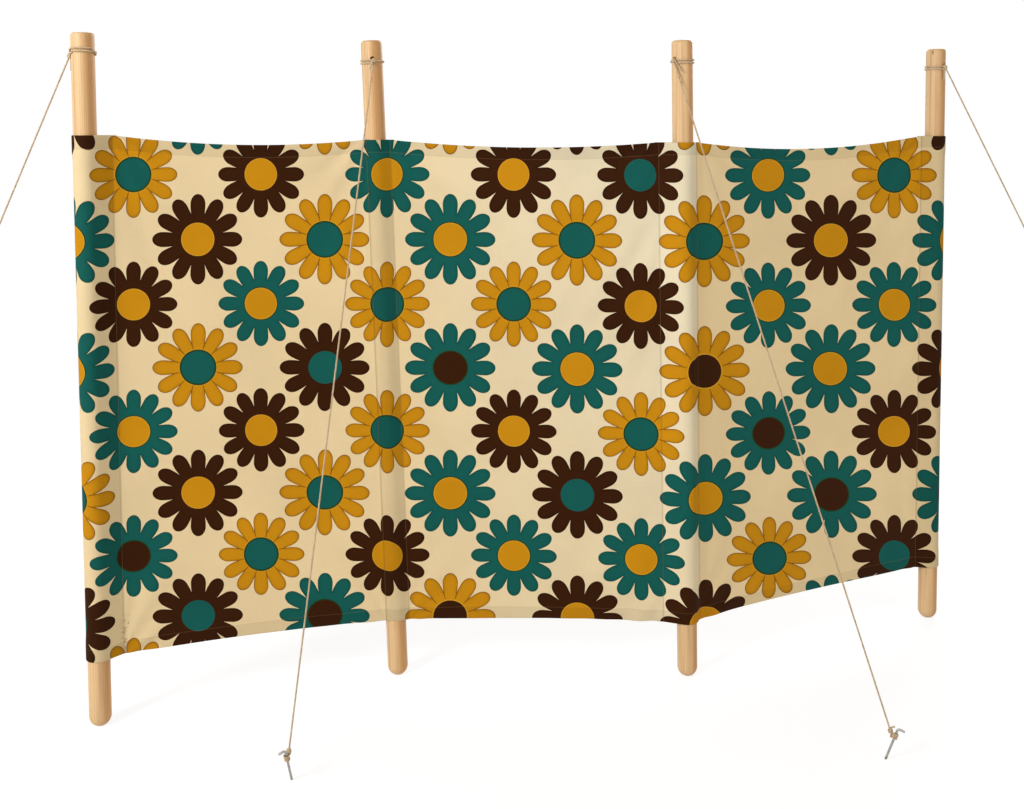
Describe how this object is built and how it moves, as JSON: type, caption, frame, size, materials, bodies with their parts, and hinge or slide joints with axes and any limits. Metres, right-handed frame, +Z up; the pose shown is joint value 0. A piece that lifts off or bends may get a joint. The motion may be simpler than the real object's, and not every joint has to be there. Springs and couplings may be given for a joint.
{
  "type": "beach windbreak",
  "caption": "Freestanding beach windbreak: a printed cloth screen sleeved on round wooden poles and stayed by thin rope guys to hooked wire pegs.",
  "frame": {"origin": "centre of the flat of the third pole's foot, on the ground", "axes": "+X to the right along the windbreak, +Y away from the viewer so the printed front faces -Y, +Z up"},
  "size_m": [2.7501, 0.6622, 1.2001],
  "materials": {
    "pole_wood": "light honey-coloured wood, sanded, with straight grain along the pole",
    "cloth": "woven canvas with a printed daisy repeat in teal, mustard and dark brown on cream",
    "rope": "thin twisted natural twine",
    "peg_steel": "galvanised steel wire"
  },
  "bodies": {
    "root": {"pole_1": "pole_wood", "pole_2": "pole_wood", "pole_3": "pole_wood", "pole_4": "pole_wood", "pocket_1": "cloth", "pocket_2": "cloth", "pocket_3": "cloth", "pocket_4": "cloth", "bay_1": "cloth", "bay_2": "cloth", "bay_3": "cloth", "top_hem_1": "cloth", "top_hem_2": "cloth", "top_hem_3": "cloth", "bottom_hem_1": "cloth", "bottom_hem_2": "cloth", "bottom_hem_3": "cloth", "hitch_1": "rope", "hitch_2": "rope", "hitch_3": "rope", "hitch_4": "rope", "guy_1": "rope", "guy_2": "rope", "guy_3": "rope", "guy_4": "rope", "eye_1": "rope", "eye_2": "rope", "eye_3": "rope", "eye_4": "rope", "peg_1": "peg_steel", "peg_2": "peg_steel", "peg_3": "peg_steel", "peg_4": "peg_steel"}
  },
  "joints": []
}
